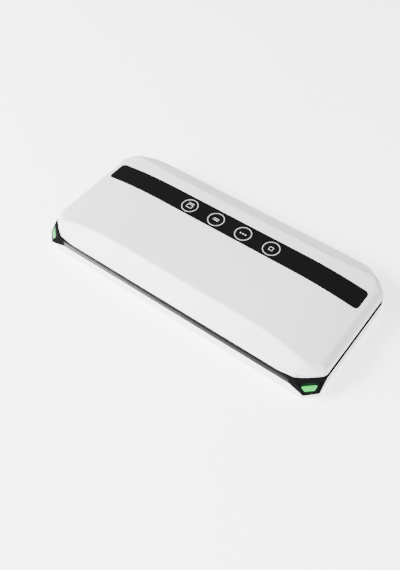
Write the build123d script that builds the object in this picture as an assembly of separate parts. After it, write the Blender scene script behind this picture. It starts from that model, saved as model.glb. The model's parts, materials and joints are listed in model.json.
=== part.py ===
from build123d import *
import math
import os

# A slim countertop vacuum sealer. Millimetres, +Z up, the bag goes in at the front (-Y).
# X and Y are measured from the middle of the lid, Z from the underside of the feet;
# export() moves everything a little so that the whole object's box is centred over the origin.

# --- overall shape -------------------------------------------------------------------------
lid_width = 390.0
lid_depth = 180.0
foot_drop = 2.0            # feet stand below the housing
base_height = 28.0         # housing underside to the parting line
crown_height = 20.5        # parting line to the flat crown of the lid
end_height = 10.9          # parting line to the lid's top at its two ends
crown_flat = 194.0         # length of the crown before it falls away to the ends
end_round = 11.0
front_slope = 0.87         # rise over run of the lid's front facet
back_slope = 0.69
lid_lip = 1.0              # upright edge below each facet
front_chamfer = (25.5, 23.0)   # plan chamfer of the lid, along X and along Y
back_chamfer = (32.0, 29.5)
foot_chamfer = (14.0, 11.5)    # plan chamfer of the white housing at the front
corner_radius = 8.0
smallest_radius = 1.0      # plan rounding left on a far inset outline

# --- walls and gaps ------------------------------------------------------------------------
shell_wall = 2.2
deck_thickness = 2.2
liner_thickness = 2.4
parting_gap = 0.4          # between the lid's edge and the deck at rest
fit_gap = 0.3              # between pieces that drop into each other
slide_gap = 0.35           # round a piece that slides
running_gap = 0.05         # radial, pin in knuckle or shaft in bearing
over = 1.0                 # how far a cutter runs past the face it cuts

# --- black band and corner pieces ----------------------------------------------------------
front_band = 13.1          # parting line to the band's lower edge
side_band = 11.0
trim_height = 8.6
trim_depth = 0.8
trim_drop = 0.4            # trim's middle below the band's
corner_drop = 15.5         # parting line to the corner piece's tip
corner_run = 11.7          # how far the tip stands out from the lid's chamfer
corner_tip = (-8.3, 9.6)   # the tip's two ends, along the chamfer from its middle
corner_reach = 4.5         # how far the corner piece runs on past the chamfer, along the body
corner_core = (8.0, 3.0)   # a point inside the corner piece: behind the chamfer, above mid height
button_rim = 2.0
button_thickness = 2.4
button_proud = 0.3
button_corner = 1.2
button_travel = 3.0
button_window = 12.0       # the button's opening runs this far in behind the chamfer
button_sweep = (-20.0, 25.0)   # the button's outline is swept between these before it is trimmed
lens_top_width = 19.0
lens_bottom_width = 11.0
lens_height = 6.0
lens_shift = -0.8          # along the chamfer
lens_drop = 6.9            # parting line to the lens's upper edge, measured upright
lens_corner = 1.0
lens_proud = 0.2           # beyond the button's face

# --- touch panel ---------------------------------------------------------------------------
panel_front = 17.0
panel_back = 45.8
panel_end_margin = 13.0
panel_thickness = 1.0
panel_radius = 5.0
key_pitch = 39.9
key_count = 4
key_y = 30.7
key_radius = 10.15
key_line = 0.9
marking_depth = 0.2
icon_width = 8.0
icon_bar = 0.9             # height of a printed bar
bag_height = 6.0
bag_line = 0.7
bag_drop = 0.4             # bag's middle below the key's
seal_rise = 4.4            # bar above the bag, from the key's middle
bar_spread = 1.2           # the two seal bars, either side of the key's middle
dot_radius = 1.0
dot_pitch = 3.4
stop_size = 5.4
stop_line = 0.8
touch_board_drop = 2.8     # board's underside below the cover's inner face
touch_board_length = 180.0
touch_chips = ((-12.0, 20.0, 2.0, 32.0, 1.5), (30.0, 34.0, 42.0, 42.0, 3.0))   # x, y, x, y, height
touch_spring_radius = 6.0
touch_spring_wall = 1.0
board_post_x = 84.0
board_post_inset = 5.0
board_post_radius = 2.0

# --- deck ----------------------------------------------------------------------------------
chamber_length = 300.0
chamber_front = -50.0
chamber_back = 4.0
chamber_depth = 15.0
chamber_wall = 1.8
chamber_radius = 10.0
tray_wall = 1.5
tray_lift = 0.2            # tray's underside above the chamber's floor
gasket_width = 6.0
gasket_margin = 3.0
gasket_seat = 3.0
gasket_proud = 0.3
heater_y = -70.0
heater_width = 9.0
heater_length = 314.0
heater_seat = 5.0
heater_proud = 0.2
heater_bar_drop = 1.0      # bar's top below the deck
heating_strip = (3.0, 0.3)     # width and thickness
heating_strip_margin = 6.0     # shorter than its bar
liner_seat = 1.4           # depth of the liner's seats for gasket and pressure strip
pressure_margin = 1.0      # pressure strip wider than the heater, each side
gasket_rest = 0.05         # upper gasket above the parting line
pressure_rest = 0.1        # pressure strip above the parting line

# --- hinge ---------------------------------------------------------------------------------
hinge_clearance = 1.8      # knuckle to the inside of the lid's back wall
hinge_drop = 1.0           # axis below the parting line
hinge_x = 120.0
knuckle_radius = 3.0
knuckle_length = 15.4
knuckle_arm = (7.0, 4.0)   # the arm from liner to knuckle: its far and near side, from the axis
knuckle_arm_lift = 1.2     # arm's underside above the axis
cheek_width = 4.0
cheek_depth = 4.0
pin_overhang = 0.5
hinge_pin_radius = 1.5
swing_clearance = 0.5
skirt_drop = 2.5

# --- latch ---------------------------------------------------------------------------------
hook_inset = 22.0          # hook to the lid's chamfer, along the button's travel
hook_thickness = 2.6
hook_width = 8.0
hook_barb = 1.5
hook_barb_height = 2.0
hook_flange = (3.0, 2.0)   # margin and thickness
hook_lift = 0.8            # hook tip above the slider, lid closed and not yet pressed down
slider_top = 9.5           # below the parting line
slider_thickness = 2.0
slider_width = 14.0
slider_back = 9.0          # plate behind the hook
slider_front = 7.0         # plate's front end behind the chamfer
stem_u = (-5.0, 6.5)       # stem from plate to cap, along the chamfer
stem_short = 1.6           # stem's end behind the cap's face
rail_n = (-18.0, -8.0)     # the guide rails, along the travel
rail_width = 2.0
rail_ledge = 1.4
spring_length = 6.3        # pressed
spring_wire = 0.35
spring_coil = 2.2
spring_pitch = 1.6
stop_half = 5.0            # rib behind the spring
stop_thickness = 1.6
stop_drop = 6.0
lamp_board_half = 8.0
lamp_board_n = (-5.2, -4.0)
lamp_board_lift = 0.7      # above the latch plate
lamp_half = 2.5
lamp_size = (1.4, 3.0)     # outwards and up
lamp_lift = 0.4

# --- pump, valve and hoses -----------------------------------------------------------------
pump_y = 42.0
motor_x = -78.0            # the motor's front face
motor_radius = 11.0
motor_length = 34.0
motor_wall = 1.2
armature_gap = 1.0         # radial
armature_ends = (3.0, 4.0)     # behind the can's back face and front face
shaft_start = 2.0
shaft_radius = 1.0
crank_disc = (6.0, 8.0)    # from the motor's front face
crank_radius = 6.0
crank_throw = 3.0
crank_pin_end = 12.0
crank_pin_radius = 1.2
head_gap = 1.0             # motor to pump head
head_size = (30.0, 24.0, 22.0)
crank_clearance = 1.5
crank_space_end = 14.0     # from the motor's front face
diaphragm_thickness = 1.4
cradle_inset = 6.0
cradle_half = 10.0
cradle_drop = 4.0          # saddle's edge below the motor's axis
port_length = 6.0
port_wall = 0.6
hose_radius = 2.5
hose_bore = 1.5
hose_gap = 0.5             # hose end to the block it is pushed onto
valve_x = 4.0
valve_length = 22.0
valve_depth = 16.0
valve_rise = 7.0           # valve's top above the pump's axis
valve_coil = (8.0, 6.0)    # length and radius
nozzle_x = 15.0
nozzle_drop = 9.4          # deck's top to the suction port's axis
nozzle_flange = 2.0

# --- boards and mains inlet ----------------------------------------------------------------
board_thickness = 1.6
board_standoff = 4.0
standoff_radius = 1.8
standoff_inset = 3.0
# outlines are x, y, x, y; blocks add a height; cans are x, y, radius, height
control_outline = (-168.0, 16.0, -124.0, 70.0)
control_blocks = ((-162.0, 22.0, -150.0, 34.0, 8.0), (-145.0, 24.0, -132.0, 38.0, 3.0))
control_cans = ((-156.0, 52.0, 4.0, 10.0), (-144.0, 56.0, 3.0, 8.0))
power_outline = (50.0, 16.0, 148.0, 68.0)
power_blocks = ((58.0, 24.0, 84.0, 50.0, 13.0), (94.0, 44.0, 112.0, 58.0, 9.0))
power_cans = ((96.0, 32.0, 5.0, 12.0), (110.0, 32.0, 5.0, 12.0))
inlet_x = 125.0
inlet_width = 20.0
inlet_height = 11.0
inlet_depth = 17.0
inlet_lift = 0.6           # above the housing's floor
socket_size = (15.5, 7.8)
socket_depth = 12.0
contact_spacing = 8.6
contact_radius = 1.2
contact_length = 9.0

# --- switch, feet, vents and screws --------------------------------------------------------
switch_place = (172.0, 12.0)
switch_size = (12.8, 6.0, 7.0)
switch_drop = 7.0          # switch's top below the parting line
switch_bore = (3.0, 1.4)   # depth and radius
switch_travel = 1.2
plunger_radius = 1.2
plunger_hole = 1.6
plunger_clear = (0.2, 0.15)    # below the pressed plunger, and above the resting one
foot_spots = ((160.0, -62.0), (160.0, 58.0))
foot_radius = 8.0
foot_recess = 1.0
vent_count = 9
vent_x = -84.0
vent_y = (22.0, 60.0)
vent_pitch = 6.0
vent_width = 3.0
lid_screw_spots = ((175.0, -36.0), (175.0, 28.0), (98.0, 60.0), (36.0, 60.0))
housing_screw_spots = ((60.0, -82.0), (140.0, -82.0), (176.0, -20.0), (176.0, 44.0), (40.0, 66.0))
screw_radius = 1.4
screw_head_radius = 2.7
screw_head = 1.8
screw_slot = (3.2, 0.6, 0.8)   # length, width, depth
boss_radius = 3.4
boss_drop = 0.3            # bosses end above the housing's posts
lid_screw_length = 8.0
lid_screw_sink = 2.0       # head's seat above the liner's underside
liner_pad = 1.6            # screw pads above the liner
lid_pilot = 7.0
frame_pilot = 6.0
housing_screw_sink = 8.0   # head's seat above the housing's underside
housing_screw_bite = 4.0

# --- worked out from the above -------------------------------------------------------------
half_w = lid_width / 2
half_d = lid_depth / 2
floor_z = foot_drop
inner_floor = floor_z + shell_wall
parting_z = floor_z + base_height
crown_z = parting_z + crown_height
deck_z = parting_z - parting_gap
deck_under = deck_z - deck_thickness
pump_z = deck_under - head_size[2] / 2   # the pump hangs against the deck
nozzle_z = deck_z - nozzle_drop
front_split = parting_z - front_band
side_split = parting_z - side_band
tip_z = parting_z - corner_drop
slider_z = parting_z - slider_top
hinge_inset = knuckle_radius + shell_wall + hinge_clearance
hinge_y = half_d - hinge_inset
hinge_z = parting_z - hinge_drop
groove_radius = math.hypot(hinge_inset, skirt_drop - hinge_drop) + swing_clearance
groove_half = half_w - back_chamfer[0] + hinge_inset * back_chamfer[0] / back_chamfer[1] + over
liner_z = parting_z + parting_gap
liner_top = liner_z + liner_thickness
pad_top = liner_top + liner_pad
lid_screw_seat = liner_z + lid_screw_sink
touch_board_z = crown_z - shell_wall - touch_board_drop
gasket_inner = (chamber_length / 2 + gasket_margin, chamber_front - gasket_margin,
                chamber_back + gasket_margin)
chamfer_length = math.hypot(*front_chamfer)
chamfer_u = (front_chamfer[0] / chamfer_length, front_chamfer[1] / chamfer_length)
chamfer_middle = (half_w - front_chamfer[0] / 2, -half_d + front_chamfer[1] / 2)
facet_tilt = math.atan2(corner_run, corner_drop)
spring_seat = -hook_inset - slider_back - button_travel - spring_length
inlet_z = inner_floor + inlet_lift + inlet_height / 2
hose_start = motor_x + head_gap + head_size[0] + hose_gap
lid_screw_places = [(s * x, y) for s in (-1, 1) for x, y in lid_screw_spots]
housing_screws = [(s * x, y) for s in (-1, 1) for x, y in housing_screw_spots]
foot_places = [(s * x, y) for s in (-1, 1) for x, y in foot_spots]
far = 80.0                 # clear of every piece near a corner


def box(low, high):
    """A box from its lowest to its highest corner."""
    size = [high[i] - low[i] for i in range(3)]
    return Pos(*low) * Box(*size, align=(Align.MIN, Align.MIN, Align.MIN))


def post(x, y, low, high, radius):
    """An upright round post between two heights."""
    return Pos(x, y, low) * Cylinder(radius, high - low, align=(Align.CENTER, Align.CENTER, Align.MIN))


def rod(x_low, x_high, y, z, radius):
    """A round bar along X."""
    return Pos(x_low, y, z) * (Rot(0, 90, 0) * Cylinder(radius, x_high - x_low,
                                                        align=(Align.CENTER, Align.CENTER, Align.MIN)))


def along_y(x, y_low, y_high, z, radius):
    """A round bar along Y."""
    return Pos(x, y_low, z) * (Rot(-90, 0, 0) * Cylinder(radius, y_high - y_low,
                                                         align=(Align.CENTER, Align.CENTER, Align.MIN)))


def prism(sketch, low, high):
    """A plan sketch raised between two heights."""
    return extrude(Pos(0, 0, low) * sketch, high - low, dir=(0, 0, 1))


def push(sketch, plane, amount):
    """A sketch placed on a plane and pushed out along the plane's direction."""
    return extrude(plane * sketch, amount, dir=plane.z_dir)


def rounded(length, low_y, high_y, radius):
    """A plan rectangle, centred on X, with rounded corners."""
    width = high_y - low_y
    return Pos(0, (low_y + high_y) / 2) * RectangleRounded(length, width, radius)


def inset_chamfer(legs, inset):
    """The legs of a plan chamfer after its outline is moved inwards."""
    a, b = legs
    loss = a + b - math.hypot(a, b)
    return a - inset * loss / b, b - inset * loss / a


def octagon(front, back, inset=0.0):
    """The body's plan: a rectangle with chamfered corners."""
    w, d = half_w - inset, half_d - inset
    fx, fy = inset_chamfer(front, inset)
    bx, by = inset_chamfer(back, inset)
    right = [(w - fx, -d), (w, -d + fy), (w, d - by), (w - bx, d)]
    left = [(-x, y) for x, y in reversed(right)]
    plan = Polygon(*right, *left, align=None)
    return fillet(plan.vertices(), max(corner_radius - inset, smallest_radius))


# --- the lid's form ------------------------------------------------------------------------
def arch_profile(inset):
    """The lid from the front: flat crown, long falling arcs, rounded ends."""
    run = half_w - crown_flat / 2
    fall = crown_height - end_height
    big_r = (run ** 2 + fall ** 2) / (2 * fall)
    centre_z = crown_z - big_r
    w = half_w - inset
    low = parting_z - base_height / 2

    def arc_z(x):
        return centre_z + math.sqrt((big_r - inset) ** 2 - (x - crown_flat / 2) ** 2)

    flat, middle = crown_flat / 2, (crown_flat / 2 + w) / 2
    outline = [
        Line((-w, low), (-w, arc_z(w))),
        ThreePointArc((-w, arc_z(w)), (-middle, arc_z(middle)), (-flat, arc_z(flat))),
        Line((-flat, arc_z(flat)), (flat, arc_z(flat))),
        ThreePointArc((flat, arc_z(flat)), (middle, arc_z(middle)), (w, arc_z(w))),
        Line((w, arc_z(w)), (w, low)),
        Line((w, low), (-w, low)),
    ]
    face = make_face(outline)
    ends = [v for v in face.vertices() if abs(abs(v.X) - w) < 0.01 and abs(v.Y - arc_z(w)) < 0.01]
    return fillet(ends, end_round - inset)


def facet_profile(inset):
    """The lid from the side: a sloping facet at the front and one at the back."""
    top = crown_z + 1
    low = parting_z - base_height / 2
    d = half_d - inset

    def facet(slope):
        back_off = inset * math.hypot(1, slope)
        at_edge = parting_z + lid_lip + slope * inset - back_off
        run = (top + back_off - parting_z - lid_lip) / slope
        return at_edge, half_d - run

    front_edge, front_top = facet(front_slope)
    back_edge, back_top = facet(back_slope)
    return Polygon((-d, low), (-d, front_edge), (-front_top, top), (back_top, top), (d, back_edge),
                   (d, low), align=None)


def lid_form(inset):
    """The solid form of the lid, with every face moved inwards by the inset."""
    plan = prism(octagon(front_chamfer, back_chamfer, inset), parting_z, crown_z + 2)
    arch = extrude(Plane.XZ * arch_profile(inset), lid_depth, both=True)
    facets = extrude(Plane.YZ * facet_profile(inset), lid_width, both=True)
    return plan & arch & facets


def panel_plan(gap):
    """The touch panel's outline, grown by the gap."""
    length = lid_width - 2 * panel_end_margin + 2 * gap
    return rounded(length, panel_front - gap, panel_back + gap, panel_radius + gap)


def lid_outer_cover():
    """White top shell with the panel's recess, screw bosses and a skirt over the hinge."""
    outer = lid_form(0)
    cover = outer - lid_form(shell_wall)
    skirt_half = half_w - back_chamfer[0] - corner_radius
    cover += box((-skirt_half, half_d - shell_wall, parting_z - skirt_drop),
                 (skirt_half, half_d, parting_z + lid_lip))
    for x, y in lid_screw_places:
        cover += post(x, y, pad_top, crown_z, boss_radius) & lid_form(shell_wall / 2)
        cover -= post(x, y, pad_top, pad_top + lid_pilot, screw_radius)
    for x in (-board_post_x, board_post_x):
        for y in (panel_front + board_post_inset, panel_back - board_post_inset):
            cover += post(x, y, touch_board_z + board_thickness, crown_z - shell_wall / 2, board_post_radius)
    recess = (outer - lid_form(panel_thickness)) & prism(panel_plan(fit_gap / 2), parting_z, crown_z + over)
    return cover - recess


def key_places():
    """Centres of the touch keys along X."""
    return [(i - (key_count - 1) / 2) * key_pitch for i in range(key_count)]


def key_markings():
    """Printed rings with a plain pictogram in each: bag with seal, seal bar, three dots, stop square."""
    low = crown_z - marking_depth
    ring = Circle(key_radius + key_line / 2) - Circle(key_radius - key_line / 2)
    bag = Rectangle(icon_width, bag_height) - Rectangle(icon_width - 2 * bag_line, bag_height - 2 * bag_line)
    bar = Rectangle(icon_width, icon_bar)
    stop = Rectangle(stop_size, stop_size) - Rectangle(stop_size - 2 * stop_line, stop_size - 2 * stop_line)
    first, second, third, fourth = key_places()
    prints = [Pos(x, key_y) * ring for x in key_places()]
    prints += [Pos(first, key_y - bag_drop) * bag, Pos(first, key_y + seal_rise) * bar]
    prints += [Pos(second, key_y + dy) * bar for dy in (-bar_spread, bar_spread)]
    prints += [Pos(third + dx, key_y) * Circle(dot_radius) for dx in (-dot_pitch, 0, dot_pitch)]
    prints += [Pos(fourth, key_y) * stop]
    return Compound([prism(sketch, low, crown_z) for sketch in prints])


def touch_panel():
    """Glossy strip that follows the arch, flush with the cover, with pockets for the markings."""
    skin = lid_form(0) - lid_form(panel_thickness)
    panel = skin & prism(panel_plan(0), parting_z, crown_z + over)
    for mark in key_markings().solids():
        panel -= mark
    return panel


def touch_board():
    """Circuit board under the panel, its larger parts on the underside."""
    half = touch_board_length / 2
    board = box((-half, panel_front, touch_board_z), (half, panel_back, touch_board_z + board_thickness))
    for x0, y0, x1, y1, height in touch_chips:
        board += box((x0, y0, touch_board_z - height), (x1, y1, touch_board_z))
    return board


def touch_springs():
    """One sensing spring under each key, between board and cover."""
    low = touch_board_z + board_thickness
    high = crown_z - shell_wall
    inner = touch_spring_radius - touch_spring_wall
    return Compound([post(x, key_y, low, high, touch_spring_radius) - post(x, key_y, low, high, inner)
                     for x in key_places()])


# --- deck pieces that follow the vacuum chamber --------------------------------------------
def gasket_plan(gap=0.0):
    """Ring round the chamber."""
    x, front, back = gasket_inner
    inner_r = chamber_radius + gasket_margin
    outer = rounded(2 * (x + gasket_width + gap), front - gasket_width - gap, back + gasket_width + gap,
                    inner_r + gasket_width + gap)
    return outer - rounded(2 * (x - gap), front + gap, back - gap, inner_r - gap)


def heater_plan(gap=0.0):
    """Long bar across the front."""
    return Pos(0, heater_y) * Rectangle(heater_length + 2 * gap, heater_width + 2 * gap)


# --- corner frame: along the chamfer (u), outwards (n), up (z) ------------------------------
def corner_point(u, n, z):
    """A point of the right front corner, from its place along and out of the chamfer."""
    ux, uy = chamfer_u
    return Vector(chamfer_middle[0] + u * ux + n * uy, chamfer_middle[1] + u * uy - n * ux, z)


def corner_plane(n=0.0):
    """Upright plane along the chamfer: its X runs along the chamfer, its Y is up, it faces out."""
    ux, uy = chamfer_u
    return Plane(origin=corner_point(0, n, 0), x_dir=(ux, uy, 0), z_dir=(uy, -ux, 0))


def corner_bar(u_low, u_high, n_low, n_high, low, high):
    """A box lined up with the corner."""
    sketch = Pos((u_low + u_high) / 2, (low + high) / 2) * Rectangle(u_high - u_low, high - low)
    return push(sketch, corner_plane(n_low), n_high - n_low)


def cut_below(solid, p, q, r, keep_point):
    """The side of the plane through three points that holds the kept point."""
    normal = (q - p).cross(r - p)
    if (keep_point - p).dot(normal) < 0:
        normal = normal * -1
    return split(solid, bisect_by=Plane(origin=p, z_dir=normal), keep=Keep.TOP)


def corner_block():
    """The faceted corner: its plan bulges past the body, and planes cut the sloping faces."""
    a = corner_point(-chamfer_length / 2, 0, parting_z)
    b = corner_point(chamfer_length / 2, 0, parting_z)
    t1 = corner_point(corner_tip[0], corner_run, tip_z)
    t2 = corner_point(corner_tip[1], corner_run, tip_z)
    k1 = Vector(a.X - corner_reach, -half_d, front_split)
    k2 = Vector(half_w, b.Y + corner_reach, side_split)
    plan = Polygon((k1.X, k1.Y), (t1.X, t1.Y), (t2.X, t2.Y), (k2.X, k2.Y), (k1.X, k2.Y), align=None)
    block = prism(plan, tip_z - over, deck_z)
    inside = corner_point(0, -corner_core[0], (parting_z + tip_z) / 2 + corner_core[1])
    block = cut_below(block, a, b, t1, inside)
    block = cut_below(block, a, k1, t1, inside)
    block = cut_below(block, b, k2, t2, inside)
    return cut_below(block, k1, k2, (t1 + t2) * 0.5, inside)


def button_profile(inset):
    """The button's outline seen along its travel: wide above, narrow below."""
    half = chamfer_length / 2
    shape = Polygon((-half, parting_z), (half, parting_z), (corner_tip[1], tip_z), (corner_tip[0], tip_z),
                    align=None)
    shape = shape & Pos(0, deck_under - far) * Rectangle(2 * far, 2 * far)
    return offset(shape, -inset, kind=Kind.INTERSECTION)


def button_prism(inset, n_low, n_high):
    """The button's outline swept along its travel."""
    profile = button_profile(inset)
    return push(fillet(profile.vertices(), button_corner), corner_plane(n_low), n_high - n_low)


def facet_side(solid, proud, keep):
    """One side of a solid cut by the sloping facet, moved out by proud; keep is -1 inner, 1 outer."""
    shift = proud / math.cos(facet_tilt)
    a = corner_point(0, shift, parting_z)
    b = corner_point(1, shift, parting_z)
    t = corner_point(0, corner_run + shift, tip_z)
    return cut_below(solid, a, b, t, corner_point(0, keep * far, parting_z))


def mirrored(solid):
    """The left-hand twin."""
    return mirror(solid, about=Plane.YZ)


def both_sides(solid):
    """A solid and its twin."""
    return solid + mirrored(solid)


def lens_profile():
    """The light lens: a small trapezium, seen along the button's travel."""
    top = parting_z - lens_drop
    low = top - lens_height * math.cos(facet_tilt)
    shape = Polygon((-lens_top_width / 2, top), (lens_top_width / 2, top), (lens_bottom_width / 2, low),
                    (-lens_bottom_width / 2, low), align=None)
    return Pos(lens_shift, 0) * fillet(shape.vertices(), lens_corner)


def lens_sweep():
    """The lens's outline swept along the travel, right through the button."""
    return push(lens_profile(), corner_plane(button_sweep[0]), button_sweep[1] - button_sweep[0])


def release_button():
    """Sloping cap with a stem and a latch plate behind it; the plate has a window for the hook."""
    cap = facet_side(button_prism(button_rim + slide_gap, *button_sweep), button_proud, -1)
    cap = facet_side(cap, button_proud - button_thickness, 1)
    cap -= lens_sweep()
    reach = corner_run * (slider_top + slider_thickness / 2) / corner_drop
    low = slider_z - slider_thickness
    half = slider_width / 2
    plate = corner_bar(-half, half, -hook_inset - slider_back, -slider_front, low, slider_z)
    plate += corner_bar(*stem_u, -slider_front, reach - stem_short, low, slider_z)
    window_half = hook_width / 2 + over
    plate -= corner_bar(-window_half, window_half, -hook_inset - hook_thickness / 2,
                        -hook_inset + hook_thickness + button_travel + over, low - over, slider_z + over)
    plate = facet_side(plate, button_proud - button_thickness / 2, -1)
    return cap + (plate - lens_sweep())


def light_lens():
    """Green lens seated in the cap."""
    lens = facet_side(lens_sweep(), button_proud + lens_proud, -1)
    return facet_side(lens, button_proud - button_thickness, 1)


def latch_hook():
    """Hook that hangs from the liner; its barb points away from the corner."""
    tip = slider_z + hook_lift
    half = hook_width / 2
    margin, thickness = hook_flange
    front = -hook_inset + hook_thickness
    leg = corner_bar(-half, half, -hook_inset, front, tip, liner_top + thickness)
    barb = corner_bar(-half, half, -hook_inset - hook_barb, -hook_inset, tip, tip + hook_barb_height)
    flange = corner_bar(-half - margin, half + margin, -hook_inset - margin, front + margin,
                        liner_top, liner_top + thickness)
    return leg + barb + flange


def button_spring():
    """Coil spring behind the latch plate, drawn at its pressed length."""
    helix = Helix(pitch=spring_pitch, height=spring_length - 2 * spring_wire, radius=spring_coil)
    coil = sweep(Plane(origin=helix @ 0, z_dir=helix % 0) * Circle(spring_wire), path=helix)
    place = Plane(origin=corner_point(0, spring_seat + spring_wire, slider_z - slider_thickness / 2),
                  z_dir=(chamfer_u[1], -chamfer_u[0], 0))
    return place.location * coil


def lamp_board():
    """Small board with a lamp behind the button, hung from the deck above the latch plate."""
    low = slider_z + lamp_board_lift
    front = lamp_board_n[1]
    outwards, height = lamp_size
    lamp_low = low + lamp_lift
    board = corner_bar(-lamp_board_half, lamp_board_half, *lamp_board_n, low, deck_under)
    return board + corner_bar(-lamp_half, lamp_half, front, front + outwards, lamp_low, lamp_low + height)


def slider_guides():
    """Rails that hold the latch plate, and the rib behind its spring."""
    edge = slider_width / 2 + slide_gap
    low = slider_z - slider_thickness - rail_ledge
    into_deck = deck_under + deck_thickness / 4
    guides = corner_bar(-stop_half, stop_half, spring_seat - stop_thickness, spring_seat,
                        slider_z - stop_drop, into_deck)
    for side in (-1, 1):
        inner, middle, outer = side * (edge - rail_width), side * edge, side * (edge + rail_width)
        guides += corner_bar(min(middle, outer), max(middle, outer), *rail_n, low, into_deck)
        guides += corner_bar(min(inner, outer), max(inner, outer), *rail_n, low,
                             slider_z - slider_thickness - slide_gap)
    return guides


# --- black upper frame ---------------------------------------------------------------------
def frame_outline_solid(inset, low, high):
    """The body's plan, moved inwards by the inset and raised between two heights."""
    return prism(octagon(front_chamfer, back_chamfer, inset), low, high)


def hinge_cheeks():
    """Two ears on each side of each knuckle, standing in the hinge groove."""
    ears = []
    foot = hinge_z - groove_radius - over
    for side in (-1, 1):
        for end in (-1, 1):
            middle = side * hinge_x + end * (knuckle_length / 2 + fit_gap + cheek_width / 2)
            x0, x1 = middle - cheek_width / 2, middle + cheek_width / 2
            ears.append(rod(x0, x1, hinge_y, hinge_z, knuckle_radius))
            ears.append(box((x0, hinge_y - cheek_depth, foot), (x1, hinge_y, hinge_z)))
    return sum(ears[1:], ears[0])


def hinge_pin_rods(radius, extra=0.0):
    """The two hinge pins' cylinders."""
    half = knuckle_length / 2 + fit_gap + cheek_width + extra
    return [rod(s * hinge_x - half, s * hinge_x + half, hinge_y, hinge_z, radius) for s in (-1, 1)]


def upper_frame():
    """Black deck and band in one moulding, with the chamber well, seats, hinge groove and corners."""
    band_end = -half_d + front_chamfer[1] + corner_reach
    shell = frame_outline_solid(0, front_split, deck_z)
    shell -= frame_outline_solid(shell_wall, front_split - over, deck_under)
    shell -= box((-half_w, band_end, front_split - over), (half_w, half_d, side_split))
    corner = corner_block() - frame_outline_solid(shell_wall, tip_z - 2 * over, deck_under)
    body = shell + both_sides(corner)
    body -= both_sides(button_prism(button_rim, -button_window, button_sweep[1]))
    body += both_sides(slider_guides())
    # chamber well
    well_out = rounded(chamber_length, chamber_front, chamber_back, chamber_radius)
    well_in = rounded(chamber_length - 2 * chamber_wall, chamber_front + chamber_wall,
                      chamber_back - chamber_wall, chamber_radius - chamber_wall)
    well_floor = deck_z - chamber_depth
    body += prism(well_out, well_floor - chamber_wall, deck_z)
    body -= prism(well_in, well_floor, deck_z + over)
    body -= along_y(nozzle_x, chamber_back - chamber_wall - over, chamber_back + over, nozzle_z, hose_bore)
    # gasket seat and heater seat, with material under each
    body += prism(gasket_plan(chamber_wall), deck_z - gasket_seat - chamber_wall, deck_under)
    body -= prism(gasket_plan(), deck_z - gasket_seat, deck_z + over)
    body += prism(heater_plan(chamber_wall), deck_z - heater_seat - chamber_wall, deck_under)
    body -= prism(heater_plan(), deck_z - heater_seat, deck_z + over)
    # screw bosses
    for x, y in housing_screws:
        low = side_split + boss_drop
        body += post(x, y, low, deck_under, boss_radius)
        body -= post(x, y, low, low + frame_pilot, screw_radius)
    # hinge groove with a wall under it
    trough = rod(-groove_half, groove_half, hinge_y, hinge_z, groove_radius + chamber_wall)
    trough &= frame_outline_solid(0, side_split, deck_under)
    body += trough
    body -= rod(-groove_half, groove_half, hinge_y, hinge_z, groove_radius)
    cheeks = hinge_cheeks()
    for pin in hinge_pin_rods(hinge_pin_radius):
        cheeks -= pin
    body += cheeks
    # slots for the hooks and the switch pin
    slot_half = hook_width / 2 + over
    body -= both_sides(corner_bar(-slot_half, slot_half, -hook_inset - hook_barb - over,
                                  -hook_inset + hook_thickness + over, deck_under - over, deck_z + over))
    body -= post(*switch_place, deck_under - over, deck_z + over, plunger_hole)
    # recess for the front trim
    body -= trim_solid(fit_gap / 2)
    return body


def trim_solid(gap):
    """Glossy strip let into the front of the band."""
    half = half_w - front_chamfer[0] - corner_reach - over + gap
    middle = parting_z - front_band / 2 - trim_drop
    return box((-half, -half_d, middle - trim_height / 2 - gap),
               (half, -half_d + trim_depth, middle + trim_height / 2 + gap))


# --- deck pieces ---------------------------------------------------------------------------
def drip_tray():
    """Tub that lines the vacuum chamber and lifts out for washing, notched for the suction port."""
    gap = chamber_wall + fit_gap
    deep = gap + tray_wall
    low = deck_z - chamber_depth + tray_lift
    outer, inner = [rounded(chamber_length - 2 * d, chamber_front + d, chamber_back - d, chamber_radius - d)
                    for d in (gap, deep)]
    tray = prism(outer, low, deck_z - fit_gap) - prism(inner, low + tray_wall, deck_z)
    notch = hose_bore + nozzle_flange + fit_gap
    notch_front = chamber_back - deep - over
    tray -= along_y(nozzle_x, notch_front, chamber_back, nozzle_z, notch)
    return tray - box((nozzle_x - notch, notch_front, nozzle_z), (nozzle_x + notch, chamber_back, deck_z))


def air_nozzle():
    """Suction port through the well's back wall, above the tray's floor."""
    front = chamber_back - chamber_wall - nozzle_flange
    back = chamber_back + port_length
    body = along_y(nozzle_x, front, back, nozzle_z, hose_bore)
    body += along_y(nozzle_x, front, chamber_back - chamber_wall, nozzle_z, hose_bore + nozzle_flange)
    return body - along_y(nozzle_x, front - over, back + over, nozzle_z, hose_bore - port_wall)


def gasket(low, high):
    """Rubber ring in its seat, between two heights."""
    return prism(gasket_plan(-fit_gap / 3), low, high)


# --- white lower housing -------------------------------------------------------------------
def inlet_body(gap=0.0):
    """The mains inlet's block at the back wall."""
    low = inner_floor + inlet_lift
    return box((inlet_x - inlet_width / 2 - gap, half_d - inlet_depth - gap, low - gap),
               (inlet_x + inlet_width / 2 + gap, half_d - fit_gap, low + inlet_height + gap))


def inlet_socket():
    """Rounded socket of the inlet."""
    opening = Plane(origin=(inlet_x, half_d, inlet_z), x_dir=(1, 0, 0), z_dir=(0, 1, 0))
    return extrude(opening * SlotOverall(*socket_size), -socket_depth)


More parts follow.
